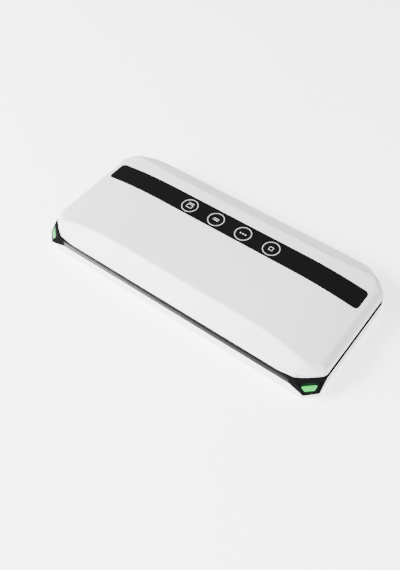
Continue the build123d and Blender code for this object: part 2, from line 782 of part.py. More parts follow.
def lower_housing():
    """White tub: floor, walls, screw posts, foot recesses, vents and the inlet's window."""
    tub = prism(octagon(foot_chamfer, back_chamfer), floor_z, side_split)
    tub -= prism(octagon(foot_chamfer, back_chamfer, shell_wall), inner_floor, side_split + over)
    band_end = -half_d + front_chamfer[1] + corner_reach
    tub -= box((-half_w - over, -half_d - over, front_split), (half_w + over, band_end, side_split + over))
    tub -= both_sides(corner_block())
    for x, y in housing_screws:
        tub += post(x, y, floor_z, side_split, boss_radius)
        tub -= post(x, y, floor_z - over, floor_z + housing_screw_sink, screw_head_radius + fit_gap)
        tub -= post(x, y, floor_z, side_split + over, screw_radius + fit_gap * 2 / 3)
    for x, y in foot_places:
        tub -= post(x, y, floor_z - over, floor_z + foot_recess, foot_radius)
    for i in range(vent_count):
        left = vent_x + i * vent_pitch
        tub -= box((left, vent_y[0], floor_z - over), (left + vent_width, vent_y[1], inner_floor + over))
    tub -= inlet_body(fit_gap / 3)
    return tub - box((inlet_x - inlet_width / 2, half_d - over, inlet_z - inlet_height / 2),
                     (inlet_x + inlet_width / 2, half_d + over, inlet_z + inlet_height / 2))


def feet():
    """Four rubber discs."""
    return Compound([post(x, y, 0, floor_z + foot_recess, foot_radius) for x, y in foot_places])


def screw(x, y, seat, length):
    """A pan-head screw with its head against the seat, pointing up."""
    slot_length, slot_width, slot_depth = screw_slot
    low = seat - screw_head
    head = post(x, y, low, seat, screw_head_radius)
    slot = box((x - slot_length / 2, y - slot_width / 2, low - over),
               (x + slot_length / 2, y + slot_width / 2, low + slot_depth))
    return head + post(x, y, seat, seat + length, screw_radius) - slot


# --- lid liner -----------------------------------------------------------------------------
def lid_liner():
    """Black inner panel of the lid with seats for gasket and pressure strip, and the hinge knuckles."""
    plate = prism(octagon(front_chamfer, back_chamfer, shell_wall + fit_gap), liner_z, liner_top)
    plate &= lid_form(shell_wall + fit_gap / 2)
    plate -= prism(gasket_plan(), liner_z - over, liner_z + liner_seat)
    plate -= prism(heater_plan(pressure_margin), liner_z - over, liner_z + liner_seat)
    reach = knuckle_length / 2 + 2 * fit_gap + cheek_width + pin_overhang
    half = knuckle_length / 2
    arm_far, arm_near = knuckle_arm
    arm_z = hinge_z + knuckle_arm_lift
    for side in (-1, 1):
        x = side * hinge_x
        plate -= box((x - reach, hinge_y - knuckle_radius - over, liner_z - over),
                     (x + reach, half_d, liner_top + over))
        plate += rod(x - half, x + half, hinge_y, hinge_z, knuckle_radius)
        plate += box((x - half, hinge_y - arm_far, arm_z), (x + half, hinge_y, hinge_z + knuckle_radius))
        plate += box((x - half, hinge_y - arm_far, arm_z), (x + half, hinge_y - arm_near, liner_top))
        plate -= rod(x - half - over, x + half + over, hinge_y, hinge_z, hinge_pin_radius + running_gap)
    plate -= both_sides(corner_bar(-hook_width / 2, hook_width / 2, -hook_inset, -hook_inset + hook_thickness,
                                   liner_z - over, liner_top + over))
    for x, y in lid_screw_places:
        plate += post(x, y, liner_z, pad_top, boss_radius + over)
        plate -= post(x, y, liner_z - over, pad_top + over, screw_radius + fit_gap / 3)
        plate -= post(x, y, liner_z - over, lid_screw_seat, screw_head_radius + fit_gap)
    return plate


# --- pump, valve, hoses and electronics ----------------------------------------------------
def pump_motor():
    """Motor can, open inside for the rotor."""
    back = motor_x - motor_length
    can = rod(back, motor_x, pump_y, pump_z, motor_radius)
    can -= rod(back + motor_wall, motor_x - motor_wall, pump_y, pump_z, motor_radius - motor_wall)
    return can - rod(motor_x - motor_wall - over, motor_x + over, pump_y, pump_z, shaft_radius + running_gap)


def pump_rotor():
    """Armature, shaft, crank disc and crank pin."""
    back = motor_x - motor_length
    disc_start, disc_end = motor_x + crank_disc[0], motor_x + crank_disc[1]
    armature_radius = motor_radius - motor_wall - armature_gap
    rotor = rod(back + armature_ends[0], motor_x - armature_ends[1], pump_y, pump_z, armature_radius)
    rotor += rod(back + shaft_start, disc_end, pump_y, pump_z, shaft_radius)
    rotor += rod(disc_start, disc_end, pump_y, pump_z, crank_radius)
    return rotor + rod(disc_end, motor_x + crank_pin_end, pump_y + crank_throw, pump_z, crank_pin_radius)


def pump_head():
    """Pump block with its crank space and one port."""
    length, width, height = head_size
    x = motor_x + head_gap
    block = box((x, pump_y - width / 2, pump_z - height / 2),
                (x + length, pump_y + width / 2, pump_z + height / 2))
    block -= rod(motor_x - over, motor_x + crank_space_end, pump_y, pump_z, crank_radius + crank_clearance)
    return block + rod(x + length - over, x + length + port_length + over, pump_y, pump_z, hose_bore)


def pump_diaphragm():
    """Rubber diaphragm disc at the end of the crank space."""
    end = motor_x + crank_space_end
    return rod(end - diaphragm_thickness, end, pump_y, pump_z, crank_radius + crank_clearance)


def pump_cradle():
    """Rubber saddle under the motor."""
    back = motor_x - motor_length
    saddle = box((back + cradle_inset, pump_y - cradle_half, inner_floor),
                 (motor_x - cradle_inset, pump_y + cradle_half, pump_z - cradle_drop))
    return saddle - rod(back, motor_x, pump_y, pump_z, motor_radius)


def release_valve():
    """Valve that lets the air back in, with its coil and two ports."""
    front = pump_y - valve_depth / 2
    back = valve_x + valve_length
    coil_length, coil_radius = valve_coil
    block = box((valve_x, front, inner_floor), (back, pump_y + valve_depth / 2, pump_z + valve_rise))
    block += rod(back, back + coil_length, pump_y, pump_z, coil_radius)
    block += rod(valve_x - port_length, valve_x, pump_y, pump_z, hose_bore)
    return block + along_y(nozzle_x, front - port_length, front, nozzle_z, hose_bore)


def pump_hose():
    """Hose from the pump head to the valve."""
    hose = rod(hose_start, valve_x - hose_gap, pump_y, pump_z, hose_radius)
    return hose - rod(hose_start - over, valve_x + over, pump_y, pump_z, hose_bore)


def chamber_hose():
    """Hose from the valve forward to the chamber's port."""
    front = chamber_back + hose_gap
    back = pump_y - valve_depth / 2 - hose_gap
    hose = along_y(nozzle_x, front, back, nozzle_z, hose_radius)
    return hose - along_y(nozzle_x, front - over, back + over, nozzle_z, hose_bore)


def populated_board(outline, blocks, cans):
    """A circuit board on four standoffs, with its larger parts."""
    x0, y0, x1, y1 = outline
    low = inner_floor + board_standoff
    top = low + board_thickness
    board = box((x0, y0, low), (x1, y1, top))
    for left, front, right, back, height in blocks:
        board += box((left, front, top), (right, back, top + height))
    for x, y, radius, height in cans:
        board += post(x, y, top, top + height, radius)
    for x in (x0 + standoff_inset, x1 - standoff_inset):
        for y in (y0 + standoff_inset, y1 - standoff_inset):
            board += post(x, y, inner_floor, low, standoff_radius)
    return board


def inlet_contacts():
    """The inlet's two contacts."""
    back = half_d - socket_depth + contact_length
    return Compound([along_y(inlet_x + side * contact_spacing / 2, half_d - socket_depth, back, inlet_z,
                             contact_radius) for side in (-1, 1)])


def switch_body():
    """Snap switch under the deck that feels the lid close."""
    x, y = switch_place
    length, width, height = switch_size
    top = parting_z - switch_drop
    body = box((x - length / 2, y - width / 2, top - height), (x + length / 2, y + width / 2, top))
    depth, radius = switch_bore
    return body - post(x, y, top - depth, top + over, radius)


def switch_plunger():
    """Pin that the lid presses down."""
    below, above = plunger_clear
    low = parting_z - switch_drop - switch_bore[0] + switch_travel + below
    return post(*switch_place, low, liner_z - above, plunger_radius)


# the corner tips reach past the body's front edge, so the whole object is moved back by half of that
centre_shift = -(corner_point(corner_tip[0], corner_run, tip_z).Y + half_d) / 2


def export(name, shape):
    """Writes one node, placed so that the object's box is centred over the origin."""
    export_step(Pos(0, centre_shift, 0) * shape, f"parts/{name}.step")


def build():
    """Makes and writes every node."""
    os.makedirs("parts", exist_ok=True)
    # lid
    export("lid_outer_cover", lid_outer_cover())
    export("lid_liner", lid_liner())
    export("touch_panel", touch_panel())
    export("key_markings", key_markings())
    export("touch_board", touch_board())
    export("touch_springs", touch_springs())
    export("upper_gasket", gasket(parting_z + gasket_rest, liner_z + liner_seat))
    pressure_plan = heater_plan(pressure_margin - fit_gap / 3)
    export("pressure_strip", prism(pressure_plan, parting_z + pressure_rest, liner_z + liner_seat))
    screws = [screw(x, y, lid_screw_seat, lid_screw_length) for x, y in lid_screw_places]
    export("lid_screws", Compound(screws))
    # base: housing and deck
    export("lower_housing", lower_housing())
    export("upper_frame", upper_frame())
    export("front_trim", trim_solid(0))
    export("drip_tray", drip_tray())
    export("air_nozzle", air_nozzle())
    export("lower_gasket", gasket(deck_z - gasket_seat, deck_z + gasket_proud))
    bar_top = deck_z - heater_bar_drop
    strip_width, strip_thickness = heating_strip
    strip_plan = Pos(0, heater_y) * Rectangle(heater_length - heating_strip_margin, strip_width)
    strip = prism(strip_plan, bar_top, bar_top + strip_thickness)
    tape_plan = Pos(0, heater_y) * Rectangle(heater_length - over, heater_width - over)
    export("heater_bar", prism(heater_plan(-fit_gap / 3), deck_z - heater_seat, bar_top))
    export("heater_strip", strip)
    export("heater_tape", prism(tape_plan, bar_top, deck_z + heater_proud) - strip)
    export("hinge_pins", Compound(hinge_pin_rods(hinge_pin_radius, pin_overhang)))
    # the corner pieces, made for the right and mirrored to the left
    corner_pieces = {"latch_hook": latch_hook(), "release_button": release_button(),
                     "light_lens": light_lens(), "button_spring": button_spring(), "lamp_board": lamp_board()}
    for name, shape in corner_pieces.items():
        export(f"{name}_right", shape)
        export(f"{name}_left", mirrored(shape))
    # inside the base
    export("lid_switch", switch_body())
    export("switch_plunger", switch_plunger())
    export("pump_motor", pump_motor())
    export("pump_rotor", pump_rotor())
    export("pump_head", pump_head())
    export("pump_diaphragm", pump_diaphragm())
    export("pump_cradle", pump_cradle())
    export("release_valve", release_valve())
    export("pump_hose", pump_hose())
    export("chamber_hose", chamber_hose())
    export("control_board", populated_board(control_outline, control_blocks, control_cans))
    export("power_board", populated_board(power_outline, power_blocks, power_cans))
    export("power_inlet", inlet_body() - inlet_socket())
    export("inlet_pins", inlet_contacts())
    export("feet", feet())
    seat = floor_z + housing_screw_sink
    length = side_split + housing_screw_bite - seat
    export("housing_screws", Compound([screw(x, y, seat, length) for x, y in housing_screws]))


build()
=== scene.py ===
import json
import math

import bmesh
import bpy
import numpy as np
from mathutils import Matrix, Vector

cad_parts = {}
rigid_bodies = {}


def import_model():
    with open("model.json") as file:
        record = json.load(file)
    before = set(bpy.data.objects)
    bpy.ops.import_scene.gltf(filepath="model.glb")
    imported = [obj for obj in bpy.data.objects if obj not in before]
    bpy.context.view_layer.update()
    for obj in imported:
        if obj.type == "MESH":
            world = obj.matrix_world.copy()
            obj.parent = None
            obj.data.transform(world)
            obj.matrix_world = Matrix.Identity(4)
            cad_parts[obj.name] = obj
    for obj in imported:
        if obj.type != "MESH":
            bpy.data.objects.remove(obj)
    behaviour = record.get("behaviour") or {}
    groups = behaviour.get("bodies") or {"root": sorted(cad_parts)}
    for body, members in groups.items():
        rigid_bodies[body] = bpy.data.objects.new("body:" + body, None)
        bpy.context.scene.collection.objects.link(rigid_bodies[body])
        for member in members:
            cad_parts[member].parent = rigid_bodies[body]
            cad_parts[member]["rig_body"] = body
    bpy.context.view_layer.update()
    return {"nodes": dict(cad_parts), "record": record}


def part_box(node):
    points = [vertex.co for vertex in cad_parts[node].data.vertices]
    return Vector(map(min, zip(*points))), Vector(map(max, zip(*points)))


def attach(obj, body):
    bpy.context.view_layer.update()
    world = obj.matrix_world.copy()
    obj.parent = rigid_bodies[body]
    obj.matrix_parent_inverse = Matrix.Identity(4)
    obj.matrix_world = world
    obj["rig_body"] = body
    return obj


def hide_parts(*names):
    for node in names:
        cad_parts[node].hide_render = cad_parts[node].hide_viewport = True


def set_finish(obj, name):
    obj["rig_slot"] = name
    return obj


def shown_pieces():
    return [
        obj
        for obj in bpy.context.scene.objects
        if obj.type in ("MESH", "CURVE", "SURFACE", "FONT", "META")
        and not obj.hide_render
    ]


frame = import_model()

# The looks of the vacuum sealer, in metres and in the CAD's own frame.
MM = 0.001

# --- camera ----------------------------------------------------------------------------------
camera_azimuth = 37.43
camera_elevation = 51.66
camera_roll = -1.19
camera_distance = 0.7926
camera_target = (0.0314, -0.0327, 0.0320)
camera_lens = 43.47
camera_shift = (-0.0325, -0.0040)

# --- lid shell -------------------------------------------------------------------------------
front_slope = 0.87
back_slope = 0.69
facet_lip = 1.0 * MM
front_chamfer = (25.5 * MM, 23.0 * MM)
back_chamfer = (32.0 * MM, 29.5 * MM)
end_height = 10.9 * MM
crown_flat = 194.0 * MM
parting_height = 30.0 * MM
shell_wall = 2.2 * MM
skirt_drop = 2.5 * MM
skirt_half = 155.0 * MM
crease_round = 0.9 * MM     # strength of the rounding along the facets' upper edges
plan_round = 3.0 * MM       # strength of the rounding of the lid's corners seen from above
lip_round = 0.8 * MM
chamfer_round = 9.0 * MM
end_round = 11.0 * MM
dome_inset = 10.0 * MM      # the wall and fillet are drawn by rays from this far inside the outline
dome_corner = 4.0 * MM
corner_blend = 48.0 * MM    # the lip's rounding grows from this far before the lid's end,
end_blend = 22.0 * MM       # is chamfer_round here, and grows on to end_round at the end
foot_round = 0.25 * MM
foot_start = 0.3 * MM       # the wall's first ring above the parting line

# --- lid mesh --------------------------------------------------------------------------------
search_steps = 36           # halvings when a surface is looked for along a line
ray_reach = 60.0 * MM
corner_steps = 10
outline_step = 3.5 * MM
fewest_steps = 6
skirt_nudge = 0.02 * MM     # makes the skirt's ends upright
wall_rings, wall_crowding = 24, 1.6     # a crowding above 1 sets the rings closer near the foot
inner_rings, inner_crowding = 8, 1.3
dense_steps, open_steps = 30, 12        # fine rings inside the fillet, then wider ones to the strip
dense_reach = 24.0 * MM     # how far the fine rings go
dense_share = 0.72          # and at most this share of the way to the strip
rim_drop = 0.12 * MM        # the small chamfer round the recess's rim
recess_gap = 0.1 * MM       # between the strip's underside and the recess's floor
hub_share = 0.02            # the innermost ring's place on the way out from the strip's spine

# --- touch strip -----------------------------------------------------------------------------
panel_thickness = 1.0 * MM
panel_radius = 5.0 * MM
panel_gap = 0.15 * MM
panel_sink = 0.06 * MM      # the strip's surface below the top of the printed rings
panel_bevel = 0.25 * MM
key_radius = 10.15 * MM
key_line = 0.9 * MM
key_pitch = 39.9 * MM
key_offset = -0.7 * MM      # the keys' row from the strip's own middle
print_depth = 0.04 * MM
strip_stops, strip_turn_steps = 121, 12     # along the strip, and round each of its corners
strip_rows, bevel_steps = 14, 4             # across its flat, and round its edge

# --- pictograms ------------------------------------------------------------------------------
icon_line = 0.7 * MM
icon_corner = 0.8 * MM
bag_size = (7.4 * MM, 5.2 * MM)
bag_offset = -0.6 * MM
bag_seal_offset = 4.2 * MM
stop_size = (5.0 * MM, 5.0 * MM)
bar_size = (8.0 * MM, 0.9 * MM)
bar_corner = 0.4 * MM
bar_offset = 1.3 * MM
dot_radius = 1.0 * MM
dot_pitch = 3.4 * MM

# --- broken edges of the CAD's own pieces ----------------------------------------------------
edge_widths = {
    "upper_frame": 0.35 * MM,
    "lower_housing": 0.4 * MM,
    "front_trim": 0.35 * MM,
    "release_button_left": 0.4 * MM,
    "release_button_right": 0.4 * MM,
    "light_lens_left": 0.35 * MM,
    "light_lens_right": 0.35 * MM,
}
weld_reach = 1e-6           # metres; the angles are in degrees
flat_angle = 0.6
broken_angle = 28.0
refined_smooth_angle = 35.0

# --- lamps behind the lenses -----------------------------------------------------------------
lens_core = (0.0, 1.0, 0.12)
lens_pale = (0.03, 1.0, 0.16)
lens_end = (0.12, 0.85, 0.28)
lens_body = (0.004, 0.10, 0.02)
lens_body_end = (0.02, 0.14, 0.05)
lens_power = 1.25
lens_end_share = 0.7        # of the power, left at a lens's two ends
# painted light: the green glow on the release buttons round each lens is emission in the buttons' own
# material, standing in for the lamp's light falling on the gloss black
painted_spill_colour = (0.02, 0.55, 0.10)
painted_spill_power = 0.10
painted_spill_near, painted_spill_far = 5 * MM, 12 * MM

# --- floor and light -------------------------------------------------------------------------
floor_half = 6.0
floor_shades = ((0.93, 0.93, 0.93), (0.97, 0.97, 0.97))
floor_glow = (2.3, 2.5)
key_place, key_size, key_power = (-1.25, -1.50, 1.50), (1.3, 1.3), 320
fill_place, fill_size, fill_power = (1.90, -0.35, 1.45), (1.1, 1.1), 48
world_strength = 0.12


# --- small helpers ---------------------------------------------------------------------------
def new_object(name, vertices, faces, body, slot, smooth_angle=30.0):
    """A mesh piece that rides on a body, shaded smooth up to the given angle."""
    mesh = bpy.data.meshes.new(name)
    mesh.from_pydata([tuple(v) for v in vertices], [], faces)
    mesh.validate()
    work = bmesh.new()
    work.from_mesh(mesh)
    bmesh.ops.recalc_face_normals(work, faces=work.faces)
    work.to_mesh(mesh)
    work.free()
    mesh.shade_smooth()
    mesh.set_sharp_from_angle(angle=math.radians(smooth_angle))
    piece = bpy.data.objects.new(name, mesh)
    bpy.context.scene.collection.objects.link(piece)
    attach(piece, body)
    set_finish(piece, slot)
    return piece


def smoothstep(low, high, value):
    """0 below low, 1 above high, smooth between."""
    t = np.clip((value - low) / (high - low), 0.0, 1.0)
    return t * t * (3.0 - 2.0 * t)


def round_join(a, b, radius):
    """Signed distance to the overlap of two solids, with a rounded edge between them."""
    u = np.maximum(a + radius, 0.0)
    v = np.maximum(b + radius, 0.0)
    return np.minimum(np.maximum(a, b), -radius) + np.hypot(u, v)


# --- the lid's surface -----------------------------------------------------------------------
cover_low, cover_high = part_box("lid_outer_cover")
half_width = cover_high.x
half_depth = (cover_high.y - cover_low.y) / 2
middle_y = (cover_high.y + cover_low.y) / 2
crown_height = cover_high.z - parting_height


def chamfer_distance(x, y, legs):
    """How far a point lies outside a corner chamfer; x and y are measured from the middle."""
    across, along = legs
    return ((x - half_width) * along + (y - half_depth) * across + across * along) / math.hypot(*legs)


def lid_distance(x, y, z):
    """Signed distance to the lid's smooth outer surface."""
    side = np.abs(x)
    depth = y - middle_y
    up = z - parting_height
    run = half_width - crown_flat / 2
    fall = crown_height - end_height
    arc_radius = (run ** 2 + fall ** 2) / (2 * fall)
    past = side - crown_flat / 2
    falling = np.hypot(past, up - crown_height + arc_radius) - arc_radius
    arch = np.where(past < 0, up - crown_height, falling)
    front = (up - facet_lip - front_slope * (depth + half_depth)) / math.hypot(1, front_slope)
    back = (up - facet_lip - back_slope * (half_depth - depth)) / math.hypot(1, back_slope)
    top = round_join(round_join(arch, front, crease_round), back, crease_round)
    front_corner = chamfer_distance(side, -depth, front_chamfer)
    back_corner = chamfer_distance(side, depth, back_chamfer)
    wall = np.maximum(np.abs(depth) - half_depth, -half_depth)
    wall = round_join(wall, front_corner, plan_round)
    wall = round_join(wall, back_corner, plan_round)
    wall = round_join(wall, side - half_width, plan_round)
    to_corner = smoothstep(half_width - corner_blend, half_width - end_blend, side)
    to_end = smoothstep(half_width - end_blend, half_width, side)
    edge = lip_round + (chamfer_round - lip_round) * to_corner + (end_round - chamfer_round) * to_end
    return round_join(top, wall, edge)


def cast(origins, directions, level, reach):
    """Points along rays where the lid's distance first equals the level."""
    low = np.zeros(len(origins))
    high = np.full(len(origins), reach)
    for _ in range(search_steps):
        middle = (low + high) / 2
        p = origins + directions * middle[:, None]
        inside = lid_distance(p[:, 0], p[:, 1], p[:, 2]) < level
        low = np.where(inside, middle, low)
        high = np.where(inside, high, middle)
    return origins + directions * low[:, None]


def drop_onto_lid(plan, level=0.0):
    """The lid's surface above points of the plan."""
    origins = np.column_stack([plan, np.full(len(plan), parting_height - ray_reach / 2)])
    up = np.tile([0.0, 0.0, 1.0], (len(plan), 1))
    return cast(origins, up, level, ray_reach)


def inset_outline():
    """Points of the lid's plan moved inwards, with the outward direction at each."""
    shift = dome_inset + dome_corner
    corners = []
    for sign, legs in ((-1, front_chamfer), (1, back_chamfer)):
        across, along = legs
        loss = across + along - math.hypot(across, along)
        run = across - shift * loss / along
        rise = along - shift * loss / across
        corners.append([(half_width - shift - run, sign * (half_depth - shift)),
                        (half_width - shift, sign * (half_depth - shift - rise))])
    front, back = corners
    right = [front[0], front[1], back[1], back[0]]
    loop = right + [(-x, y) for x, y in reversed(right)]
    turns = []
    for i, (x, y) in enumerate(loop):
        after = loop[(i + 1) % len(loop)]
        turns.append(math.atan2(-(after[0] - x), after[1] - y))
    places, angles = [], []
    for i, (x, y) in enumerate(loop):
        start = turns[i - 1]
        turn = (turns[i] - start + math.pi) % (2 * math.pi) - math.pi
        for k in range(corner_steps + 1):
            angle = start + turn * k / corner_steps
            places.append((x + dome_corner * math.cos(angle), y + dome_corner * math.sin(angle)))
            angles.append(angle)
        after = loop[(i + 1) % len(loop)]
        length = math.hypot(after[0] - x, after[1] - y)
        steps = max(int(length / outline_step), fewest_steps)
        stops = set(np.linspace(0, 1, steps + 1)[1:-1])
        if y > 0 and after[1] > 0 and abs(y - after[1]) < MM:
            for edge in (-skirt_half, skirt_half):
                for nudge in (-skirt_nudge, skirt_nudge):
                    stops.add((edge + nudge - x) / (after[0] - x))
        for t in sorted(stops):
            places.append((x + (after[0] - x) * t + dome_corner * math.cos(turns[i]),
                           y + (after[1] - y) * t + dome_corner * math.sin(turns[i])))
            angles.append(turns[i])
    places = np.array(places) + [0.0, middle_y]
    outward = np.column_stack([np.cos(angles), np.sin(angles)])
    return places, outward


panel_low, panel_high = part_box("touch_panel")
panel_middle = (panel_low.y + panel_high.y) / 2
panel_half = (panel_high.y - panel_low.y) / 2
panel_reach = panel_high.x


def panel_distance(x, y, grow):
    """Signed distance to the touch strip's rounded outline in plan, grown by an amount."""
    radius = panel_radius + grow
    u = np.abs(x) - (panel_reach + grow) + radius
    v = np.abs(y - panel_middle) - (panel_half + grow) + radius
    outside = np.hypot(np.maximum(u, 0), np.maximum(v, 0))
    return outside + np.minimum(np.maximum(u, v), 0) - radius


def panel_edge(outer, grow):
    """Where the lines from the strip's spine to the outer points cross the strip's outline."""
    spine = panel_reach - panel_half
    hub = np.column_stack([np.clip(outer[:, 0], -spine, spine), np.full(len(outer), panel_middle)])
    low, high = np.zeros(len(outer)), np.ones(len(outer))
    for _ in range(search_steps):
        middle = (low + high) / 2
        p = hub + (outer - hub) * middle[:, None]
        inside = panel_distance(p[:, 0], p[:, 1], grow) < 0
        low = np.where(inside, middle, low)
        high = np.where(inside, high, middle)
    return hub, hub + (outer - hub) * low[:, None]


def stitch(rings):
    """Vertices and quads of rings of equal length, each ring closed on itself."""
    count = len(rings[0])
    faces = []
    for k in range(len(rings) - 1):
        for i in range(count):
            j = (i + 1) % count
            faces.append((k * count + i, k * count + j, (k + 1) * count + j, (k + 1) * count + i))
    return np.vstack(rings), faces


def dome_rings(places, outward, level, steps, power):
    """Rings that climb the wall and its fillet."""
    rings = []
    for k in range(steps + 1):
        angle = math.pi / 2 * (k / steps) ** power
        origins = np.column_stack([places, np.full(len(places), parting_height)])
        directions = np.column_stack([outward * math.cos(angle), np.full(len(places), math.sin(angle))])
        rings.append(cast(origins, directions, level, ray_reach))
    return rings


def lid_shell():
    """The white cover: wall, fillet, facets and crown, the strip's recess, and the inner surface."""
    places, outward = inset_outline()
    hub, pocket = panel_edge(places, panel_gap)
    rings = dome_rings(places, outward, 0.0, wall_rings, wall_crowding)
    span = np.linalg.norm(pocket - places, axis=1)
    dense = np.minimum(dense_reach, dense_share * span)
    for k in range(1, dense_steps + 1):
        t = dense * k / dense_steps / span
        rings.append(drop_onto_lid(places + (pocket - places) * t[:, None]))
    for k in range(1, open_steps + 1):
        t = np.minimum((dense + (span - dense) * k / open_steps) / span, 1 - rim_drop / span)
        rings.append(drop_onto_lid(places + (pocket - places) * t[:, None]))
    rim = drop_onto_lid(pocket)
    rim[:, 2] -= rim_drop
    floor = drop_onto_lid(pocket)
    floor[:, 2] -= panel_thickness + recess_gap
    rings += [rim, floor]
    for share in (0.5, hub_share):
        p = drop_onto_lid(hub + (pocket - hub) * share)
        p[:, 2] -= panel_thickness + recess_gap
        rings.append(p)
    # the lower edge, with a skirt along the back, then the inner surface
    depth = places[:, 1] - middle_y
    skirted = (depth > half_depth - dome_inset - 0.5 * MM) & (np.abs(places[:, 0]) < skirt_half)
    drop = np.where(skirted, skirt_drop, 0.0)
    outer_foot = rings[0].copy()
    outer_foot[:, 2] = parting_height - drop + foot_round
    outer_edge = outer_foot.copy()
    outer_edge[:, :2] -= outward * foot_round
    outer_edge[:, 2] = parting_height - drop
    inner_edge = rings[0].copy()
    inner_edge[:, :2] -= outward * shell_wall
    inner_edge[:, 2] = parting_height - drop
    rings[0][:, 2] = parting_height + foot_start
    inner = dome_rings(places, outward, -shell_wall, inner_rings, inner_crowding)[1:]
    for t in (0.25, 0.5, 0.75, 1.0):
        inner.append(drop_onto_lid(places + (pocket - places) * t, -shell_wall))
    inner.append(drop_onto_lid(hub + (pocket - hub) * hub_share, -shell_wall))
    all_rings = rings[::-1] + [outer_foot, outer_edge, inner_edge] + inner
    vertices, faces = stitch(all_rings)
    count = len(places)
    faces.append(tuple(range(count)))
    faces.append(tuple(range(len(vertices) - count, len(vertices))))
    return new_object("lid_shell", vertices, faces, "lid", "white_shell", 40)


shell = lid_shell()
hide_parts("lid_outer_cover")

# --- the touch strip and its print -----------------------------------------------------------
def strip_span(x, grow):
    """Front and back edge of the strip's outline at a place along it."""
    radius = panel_radius + grow
    past = max(abs(x) - (panel_reach + grow - radius), 0.0)
    half = panel_half + grow - radius + math.sqrt(max(radius ** 2 - past ** 2, 0.0))
    return panel_middle - half, panel_middle + half


def touch_strip():
    """Glossy strip that follows the crown, with a rounded edge all round."""
    stops = list(np.linspace(-1, 1, strip_stops) * (panel_reach - panel_radius))
    quarter = [math.pi / 2 * k / strip_turn_steps for k in range(1, strip_turn_steps + 1)]
    turn = [panel_radius * math.sin(angle) for angle in quarter]
    stops = [-(panel_reach - panel_radius + t) for t in reversed(turn)] + stops
    stops += [panel_reach - panel_radius + t for t in turn]
    edge = [(panel_bevel * (1 - math.cos(a)), panel_bevel * (1 - math.sin(a)))
            for a in np.linspace(0, math.pi / 2, bevel_steps)]
    rings = []
    for x in stops:
        front, back = strip_span(x, 0.0)
        near_end = panel_reach - abs(x)
        squeeze = panel_bevel - math.sqrt(max(panel_bevel ** 2 - max(panel_bevel - near_end, 0) ** 2, 0))
        rows = [(front + inset, sink) for inset, sink in edge]
        flat = back - front - 2 * panel_bevel
        rows += [(front + panel_bevel + flat * k / strip_rows, 0.0) for k in range(1, strip_rows)]
        rows += [(back - inset, sink) for inset, sink in reversed(edge)]
        top = drop_onto_lid(np.array([(x, y) for y, _ in rows]))
        for row, (_, sink) in zip(top, rows):
            row[2] -= panel_sink + max(sink, squeeze)
        low = top[:, 2].min() - panel_thickness + 2 * panel_bevel
        foot = np.array([(x, rows[-1][0], low), (x, rows[0][0], low)])
        rings.append(np.vstack([top, foot]))
    vertices, faces = stitch(rings)
    count = len(rings[0])
    faces.append(tuple(range(count)))
    faces.append(tuple(range(len(vertices) - count, len(vertices))))
    return new_object("touch_strip", vertices, faces, "lid", "touch_glass", 50)


def outline_band(loop, width, low, high):
    """A raised printed line along a closed plan outline, with a softly rounded top."""
    loop = np.array(loop)
    ahead = np.roll(loop, -1, axis=0) - np.roll(loop, 1, axis=0)
    ahead /= np.linalg.norm(ahead, axis=1)[:, None]
    side = np.column_stack([ahead[:, 1], -ahead[:, 0]])
    profile = [(-0.5, 0.0), (-0.5, 0.6), (-0.3, 1.0), (0.3, 1.0), (0.5, 0.6), (0.5, 0.0)]
    rings = [np.column_stack([loop + side * width * u, np.full(len(loop), low + (high - low) * v)])
             for u, v in profile]
    rings.append(rings[0])
    return stitch(rings)


def circle_loop(x, y, radius, count=96):
    """Points round a circle."""
    angles = [2 * math.pi * k / count for k in range(count)]
    return [(x + radius * math.cos(angle), y + radius * math.sin(angle)) for angle in angles]


def box_loop(x, y, width, height, radius, steps=4):
    """Points round a rectangle with rounded corners."""
    points = []
    for corner, (sx, sy) in enumerate(((1, 1), (-1, 1), (-1, -1), (1, -1))):
        for k in range(steps + 1):
            angle = math.pi / 2 * (corner + k / steps)
            points.append((x + sx * (width / 2 - radius) + radius * math.cos(angle),
                           y + sy * (height / 2 - radius) + radius * math.sin(angle)))
    return points


def filled(loop, low, high):
    """A low raised patch with a chamfered edge."""
    loop = np.array(loop)
    centre = loop.mean(axis=0)
    rings = []
    for share, level in ((1.0, low), (1.0, low + (high - low) * 0.6), (0.9, high)):
        rings.append(np.column_stack([centre + (loop - centre) * share, np.full(len(loop), level)]))
    vertices, faces = stitch(rings)
    count = len(loop)
    faces.append(tuple(range(count)))
    faces.append(tuple(range(2 * count, 3 * count)))
    return vertices, faces


def key_prints():
    """The four rings, each with a plain pictogram: bag and seal, seal bar, three dots, stop square."""
    low = cover_high.z - panel_sink - print_depth
    high = cover_high.z
    y = panel_middle + key_offset
    places = [(k - 1.5) * key_pitch for k in range(4)]
    lines = [(circle_loop(x, y, key_radius), key_line) for x in places]
    lines.append((box_loop(places[0], y + bag_offset, *bag_size, icon_corner), icon_line))
    lines.append((box_loop(places[3], y, *stop_size, icon_corner), icon_line))
    patches = [box_loop(places[0], y + bag_seal_offset, *bar_size, bar_corner)]
    patches += [box_loop(places[1], y + side * bar_offset, *bar_size, bar_corner) for side in (-1, 1)]
    patches += [circle_loop(places[2] + k * dot_pitch, y, dot_radius, count=24) for k in (-1, 0, 1)]
    made = [outline_band(loop, width, low, high) for loop, width in lines]
    made += [filled(loop, low, high) for loop in patches]
    vertices, faces, start = [], [], 0
    for part_vertices, part_faces in made:
        vertices.append(part_vertices)
        faces += [tuple(start + i for i in face) for face in part_faces]
        start += len(part_vertices)
    return new_object("key_prints", np.vstack(vertices), faces, "lid", "key_print", 50)


strip = touch_strip()
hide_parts("touch_panel")
prints = key_prints()
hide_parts("key_markings")


# --- CAD pieces with their edges broken ------------------------------------------------------
slot_of = {row["node"]: row["material_slot"] for row in frame["record"]["subparts"]}


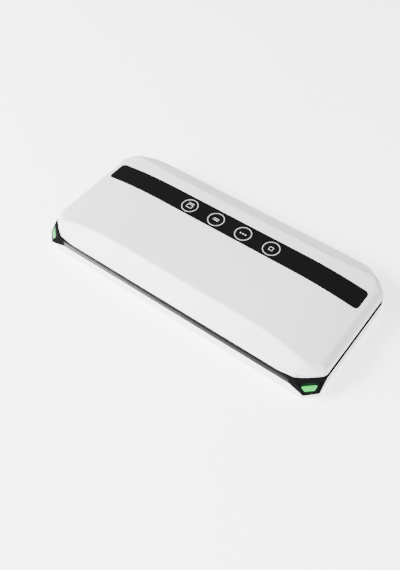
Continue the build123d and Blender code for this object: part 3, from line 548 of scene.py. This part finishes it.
def refined(node, width, segments=2):
    """A copy of a CAD node whose sharp edges are rounded, as on a moulded piece; it replaces the node."""
    source = frame["nodes"][node]
    work = bmesh.new()
    work.from_mesh(source.data)
    bmesh.ops.remove_doubles(work, verts=work.verts, dist=weld_reach)
    limit = math.radians(flat_angle)
    bmesh.ops.dissolve_limit(work, angle_limit=limit, verts=work.verts, edges=work.edges)
    joined = [edge for edge in work.edges if len(edge.link_faces) == 2]
    sharp = [edge for edge in joined if edge.calc_face_angle(0) > math.radians(broken_angle)]
    bmesh.ops.bevel(work, geom=sharp, offset=width, segments=segments, profile=0.5, affect="EDGES",
                    clamp_overlap=True, miter_outer="ARC")
    mesh = bpy.data.meshes.new(node + "_refined")
    bmesh.ops.triangulate(work, faces=[f for f in work.faces if len(f.verts) > 4])
    work.to_mesh(mesh)
    work.free()
    mesh.shade_smooth()
    mesh.set_sharp_from_angle(angle=math.radians(refined_smooth_angle))
    piece = bpy.data.objects.new(node + "_refined", mesh)
    bpy.context.scene.collection.objects.link(piece)
    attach(piece, source["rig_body"])
    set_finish(piece, slot_of[node])
    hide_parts(node)
    return piece


refined_pieces = {node: refined(node, width) for node, width in edge_widths.items()}


# --- materials -------------------------------------------------------------------------------
recorded = {row["slot"]: tuple(row["base_color"]) for row in frame["record"]["materials"]}


class Look:
    """A node material under construction: its shader, its tree and the place in metres."""

    def __init__(self, name):
        self.made = bpy.data.materials.new(name)
        self.made.use_nodes = True
        self.tree = self.made.node_tree
        self.shader = self.tree.nodes["Principled BSDF"]
        self.place = self.tree.nodes.new("ShaderNodeTexCoord").outputs["Object"]
        self.normal = None

    def link(self, source, target):
        self.tree.links.new(source, target)

    def set(self, **values):
        for key, value in values.items():
            self.shader.inputs[key.replace("_", " ")].default_value = value

    def stretched(self, scale, turn=(0, 0, 0)):
        """The place, scaled per axis, for streaks."""
        mapping = self.tree.nodes.new("ShaderNodeMapping")
        mapping.inputs["Scale"].default_value = scale
        mapping.inputs["Rotation"].default_value = turn
        self.link(self.place, mapping.inputs["Vector"])
        return mapping.outputs["Vector"]

    def noise(self, scale, detail=3.0, place=None):
        node = self.tree.nodes.new("ShaderNodeTexNoise")
        node.inputs["Scale"].default_value = scale
        node.inputs["Detail"].default_value = detail
        self.link(place or self.place, node.inputs["Vector"])
        return node.outputs["Fac"]

    def cells(self, scale, place=None):
        node = self.tree.nodes.new("ShaderNodeTexVoronoi")
        node.inputs["Scale"].default_value = scale
        self.link(place or self.place, node.inputs["Vector"])
        return node.outputs["Distance"]

    def waves(self, scale, direction):
        node = self.tree.nodes.new("ShaderNodeTexWave")
        node.bands_direction = direction
        node.inputs["Scale"].default_value = scale
        self.link(self.place, node.inputs["Vector"])
        return node.outputs["Fac"]

    def remap(self, value, low, high, source=(0.3, 0.7)):
        node = self.tree.nodes.new("ShaderNodeMapRange")
        node.inputs["From Min"].default_value, node.inputs["From Max"].default_value = source
        node.inputs["To Min"].default_value, node.inputs["To Max"].default_value = low, high
        self.link(value, node.inputs["Value"])
        return node.outputs["Result"]

    def math(self, operation, a, b=None):
        node = self.tree.nodes.new("ShaderNodeMath")
        node.operation = operation
        for socket, value in zip(node.inputs, (a, b)):
            if value is None:
                continue
            if isinstance(value, (int, float)):
                socket.default_value = value
            else:
                self.link(value, socket)
        return node.outputs["Value"]

    def blend(self, factor, dark, light):
        """Two colours mixed by a factor; each is a colour or another node's output."""
        node = self.tree.nodes.new("ShaderNodeMix")
        node.data_type = "RGBA"
        self.link(factor, node.inputs["Factor"])
        for socket, value in ((node.inputs["A"], dark), (node.inputs["B"], light)):
            if isinstance(value, tuple):
                socket.default_value = (*value, 1.0)
            else:
                self.link(value, socket)
        return node.outputs["Result"]

    def relief(self, height, depth, strength=1.0):
        """Adds a bump layer over the ones before it."""
        node = self.tree.nodes.new("ShaderNodeBump")
        node.inputs["Distance"].default_value = depth
        node.inputs["Strength"].default_value = strength
        self.link(height, node.inputs["Height"])
        if self.normal is not None:
            self.link(self.normal, node.inputs["Normal"])
        self.normal = node.outputs["Normal"]
        self.link(self.normal, self.shader.inputs["Normal"])

    def colour(self, output):
        self.link(output, self.shader.inputs["Base Color"])

    def roughness(self, output):
        self.link(output, self.shader.inputs["Roughness"])

    def worn_edges(self, low=0.50, high=0.60):
        """0 on flats and 1 on outward edges."""
        node = self.tree.nodes.new("ShaderNodeNewGeometry")
        return self.remap(node.outputs["Pointiness"], 0.0, 1.0, (low, high))


def shade(base, amount):
    """A colour made lighter or darker."""
    return tuple(min(c * amount, 1.0) for c in base)


def moulded(slot, spread, rough, grain_scale, grain_depth, wear=0.0, coat=0.0):
    """Injection-moulded plastic or rubber: faint mottling, uneven gloss, fine grain and rubbed edges."""
    look = Look(slot)
    base = recorded[slot]
    mottle = look.remap(look.noise(38, 5), 0.0, 1.0)
    body = look.blend(mottle, shade(base, 1 - spread), shade(base, 1 + spread))
    if wear:
        edges = look.math("MULTIPLY", look.worn_edges(), look.remap(look.noise(140, 4), 0.2, 1.0))
        body = look.blend(look.math("MULTIPLY", edges, wear), body, shade(base, 3.0))
    look.colour(body)
    smear = look.noise(24, 6, look.stretched((1.0, 2.6, 1.0), (0, 0, 0.5)))
    look.roughness(look.remap(smear, rough[0], rough[1]))
    look.relief(look.noise(grain_scale, 2), grain_depth, 0.6)
    look.relief(look.noise(grain_scale / 12, 3), grain_depth * 2, 0.25)
    look.set(Coat_Weight=coat)
    look.set(Coat_Roughness=0.08)
    return look


def metal(slot, rough, streak):
    """Drawn or rolled metal with fine lines along one direction."""
    look = Look(slot)
    base = recorded[slot]
    lines = look.noise(180, 5, look.stretched(streak))
    look.colour(look.blend(look.remap(lines, 0.0, 1.0), shade(base, 0.85), shade(base, 1.12)))
    look.roughness(look.remap(lines, rough[0], rough[1]))
    look.relief(lines, 0.02 * MM, 0.4)
    look.set(Metallic=1.0)
    return look


looks = {
    "white_shell": moulded("white_shell", 0.012, (0.36, 0.46), 2600, 0.012 * MM),
    "black_frame": moulded("black_frame", 0.10, (0.34, 0.46), 2200, 0.02 * MM, wear=0.2),
    "gloss_trim": moulded("gloss_trim", 0.08, (0.08, 0.16), 900, 0.002 * MM),
    "touch_glass": moulded("touch_glass", 0.08, (0.05, 0.11), 500, 0.0015 * MM),
    "key_print": moulded("key_print", 0.05, (0.30, 0.42), 3000, 0.004 * MM),
    "black_rubber": moulded("black_rubber", 0.12, (0.72, 0.88), 1500, 0.05 * MM),
    "red_silicone": moulded("red_silicone", 0.08, (0.55, 0.70), 1200, 0.04 * MM),
    "tray_plastic": moulded("tray_plastic", 0.08, (0.38, 0.52), 2000, 0.02 * MM, wear=0.06),
    "heater_base": moulded("heater_base", 0.12, (0.60, 0.75), 1600, 0.05 * MM),
    "inner_plastic": moulded("inner_plastic", 0.08, (0.42, 0.55), 2000, 0.02 * MM),
    "clear_hose": moulded("clear_hose", 0.05, (0.18, 0.30), 700, 0.01 * MM),
    "spring_steel": metal("spring_steel", (0.22, 0.38), (1.0, 1.0, 6.0)),
    "steel_hardware": metal("steel_hardware", (0.25, 0.42), (1.0, 6.0, 1.0)),
    "motor_steel": metal("motor_steel", (0.28, 0.45), (8.0, 1.0, 1.0)),
    "contact_brass": metal("contact_brass", (0.18, 0.32), (1.0, 8.0, 1.0)),
    "heater_alloy": metal("heater_alloy", (0.30, 0.48), (0.4, 8.0, 1.0)),
}
looks["touch_glass"].set(Specular_IOR_Level=0.35)
looks["black_frame"].set(Specular_IOR_Level=0.0)
looks["gloss_trim"].set(Specular_IOR_Level=0.02)
looks["clear_hose"].set(Transmission_Weight=0.55)


def green_lamp():
    """Lit translucent lens: brightest over its lamp, paler and dimmer at its two ends."""
    look = Look("green_lens")
    low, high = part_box("light_lens_right")
    middle = (low + high) / 2
    apart = look.tree.nodes.new("ShaderNodeSeparateXYZ")
    look.link(look.place, apart.inputs["Vector"])
    side = look.math("ABSOLUTE", apart.outputs["X"])
    sideways = look.math("ABSOLUTE", look.math("SUBTRACT", side, middle.x))
    along = look.math("DIVIDE", sideways, (high.x - low.x) / 2)
    ends = look.remap(along, 0.0, 1.0, (0.55, 1.0))
    fine = look.remap(look.noise(420, 4), 0.0, 0.25)
    core = look.blend(fine, lens_core, lens_pale)
    glow = look.blend(ends, core, lens_end)
    look.colour(look.blend(ends, lens_body, lens_body_end))
    look.link(glow, look.shader.inputs["Emission Color"])
    power = look.remap(ends, lens_power, lens_power * lens_end_share, (0.0, 1.0))
    look.link(power, look.shader.inputs["Emission Strength"])
    look.roughness(look.remap(look.noise(300, 3), 0.16, 0.28))
    look.relief(look.waves(900, "Z"), 0.02 * MM, 0.3)
    look.set(Coat_Weight=0.05)
    look.set(Specular_IOR_Level=0.05)
    return look


def painted_glow_gloss():
    """The release buttons' gloss black, with the lens's light spilling onto it painted in as a green
    emission glow.
    """
    look = moulded("gloss_trim", 0.08, (0.10, 0.18), 900, 0.002 * MM)
    look.made.name = "button_gloss"
    look.set(Specular_IOR_Level=0.01)
    low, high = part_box("light_lens_right")
    middle = (low + high) / 2
    apart = look.tree.nodes.new("ShaderNodeSeparateXYZ")
    look.link(look.place, apart.inputs["Vector"])
    gather = look.tree.nodes.new("ShaderNodeCombineXYZ")
    look.link(look.math("ABSOLUTE", apart.outputs["X"]), gather.inputs["X"])
    look.link(apart.outputs["Y"], gather.inputs["Y"])
    look.link(apart.outputs["Z"], gather.inputs["Z"])
    offset = look.tree.nodes.new("ShaderNodeVectorMath")
    offset.operation = "DISTANCE"
    offset.inputs[1].default_value = middle
    look.link(gather.outputs["Vector"], offset.inputs[0])
    # painted light: emission that is strongest near the lens and fades out with distance, standing in for
    # the lens's glow on the buttons
    near = look.remap(offset.outputs["Value"], 1.0, 0.0, (painted_spill_near, painted_spill_far))
    spill = look.math("MULTIPLY", look.math("POWER", near, 2.0), look.remap(look.noise(260, 4), 0.7, 1.0))
    look.set(Emission_Color=(*painted_spill_colour, 1.0))
    strength = look.math("MULTIPLY", spill, painted_spill_power)
    look.link(strength, look.shader.inputs["Emission Strength"])
    return look


def solder_mask():
    """Circuit board: green lacquer over copper tracks."""
    look = Look("circuit_board")
    base = recorded["circuit_board"]
    tracks = look.math("GREATER_THAN", look.cells(260, look.stretched((1.0, 0.35, 1.0))), 0.42)
    body = look.blend(tracks, base, shade(base, 1.7))
    look.colour(look.blend(look.remap(look.noise(90, 4), 0.0, 1.0), body, shade(base, 1.2)))
    look.roughness(look.remap(look.noise(200, 4), 0.28, 0.42))
    look.relief(tracks, 0.03 * MM, 0.5)
    return look


def glass_cloth():
    """Woven heat-proof tape over the heating strip."""
    look = Look("ptfe_tape")
    base = recorded["ptfe_tape"]
    weave = look.math("MULTIPLY", look.waves(420, "X"), look.waves(420, "Y"))
    body = look.blend(weave, shade(base, 0.7), shade(base, 1.25))
    stains = look.remap(look.noise(60, 5, look.stretched((0.3, 1.0, 1.0))), 0.0, 0.5)
    look.colour(look.blend(stains, body, shade(base, 0.6)))
    look.roughness(look.remap(look.noise(300, 3), 0.38, 0.55))
    look.relief(weave, 0.08 * MM, 0.7)
    return look


looks["green_lens"] = green_lamp()
looks["circuit_board"] = solder_mask()
looks["ptfe_tape"] = glass_cloth()
button_look = painted_glow_gloss()


def paint(piece, look):
    """Puts a material on every slot of a piece."""
    slots = piece.data.materials
    if not slots:
        slots.append(look.made)
    for i in range(len(slots)):
        slots[i] = look.made


for node, piece in frame["nodes"].items():
    paint(piece, looks[slot_of[node]])
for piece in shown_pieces():
    if "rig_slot" in piece:
        paint(piece, looks[piece["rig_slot"]])
for side in ("left", "right"):
    paint(refined_pieces["release_button_" + side], button_look)


# --- floor, light and camera -----------------------------------------------------------------
def stage_floor():
    """A wide pale floor under the feet."""
    corners = [(x * floor_half, y * floor_half, 0) for x, y in ((-1, -1), (1, -1), (1, 1), (-1, 1))]
    mesh = bpy.data.meshes.new("floor")
    mesh.from_pydata(corners, [], [(0, 1, 2, 3)])
    floor = bpy.data.objects.new("floor", mesh)
    bpy.context.scene.collection.objects.link(floor)
    return floor


floor = stage_floor()
pale = Look("pale_floor")
mist = pale.remap(pale.noise(1.3, 4), 0.0, 1.0)
pale.colour(pale.blend(mist, *floor_shades))
pale.roughness(pale.remap(pale.noise(40, 4), 0.55, 0.7))
pale.set(Emission_Color=(1, 1, 1, 1))
pale.link(pale.remap(mist, *floor_glow, (0.0, 1.0)), pale.shader.inputs["Emission Strength"])
paint(floor, pale)


def area_light(name, place, target, size, power, tint=(1, 1, 1)):
    """A soft rectangular light aimed at a point."""
    data = bpy.data.lights.new(name, "AREA")
    data.shape = "RECTANGLE"
    data.size, data.size_y = size
    data.energy = power
    data.color = tint
    lamp = bpy.data.objects.new(name, data)
    bpy.context.scene.collection.objects.link(lamp)
    lamp.location = place
    lamp.rotation_mode = "QUATERNION"
    lamp.rotation_quaternion = (Vector(target) - Vector(place)).to_track_quat("-Z", "Y")


area_light("key", key_place, (0, 0, 0), key_size, key_power)
area_light("fill", fill_place, (0, 0, 0), fill_size, fill_power)

world = bpy.data.worlds.new("studio")
bpy.context.scene.world = world
world.use_nodes = True
world.node_tree.nodes["Background"].inputs["Color"].default_value = (1, 1, 1, 1)
world.node_tree.nodes["Background"].inputs["Strength"].default_value = world_strength

camera_data = bpy.data.cameras.new("camera")
camera = bpy.data.objects.new("camera", camera_data)
bpy.context.scene.collection.objects.link(camera)
bpy.context.scene.camera = camera
camera_data.lens = camera_lens
camera_data.shift_x, camera_data.shift_y = camera_shift
turn = (Matrix.Rotation(math.radians(camera_azimuth), 4, "Z")
        @ Matrix.Rotation(math.radians(90 - camera_elevation), 4, "X")
        @ Matrix.Rotation(math.radians(camera_roll), 4, "Z"))
camera.matrix_world = Matrix.Translation(camera_target) @ turn @ Matrix.Translation((0, 0, camera_distance))
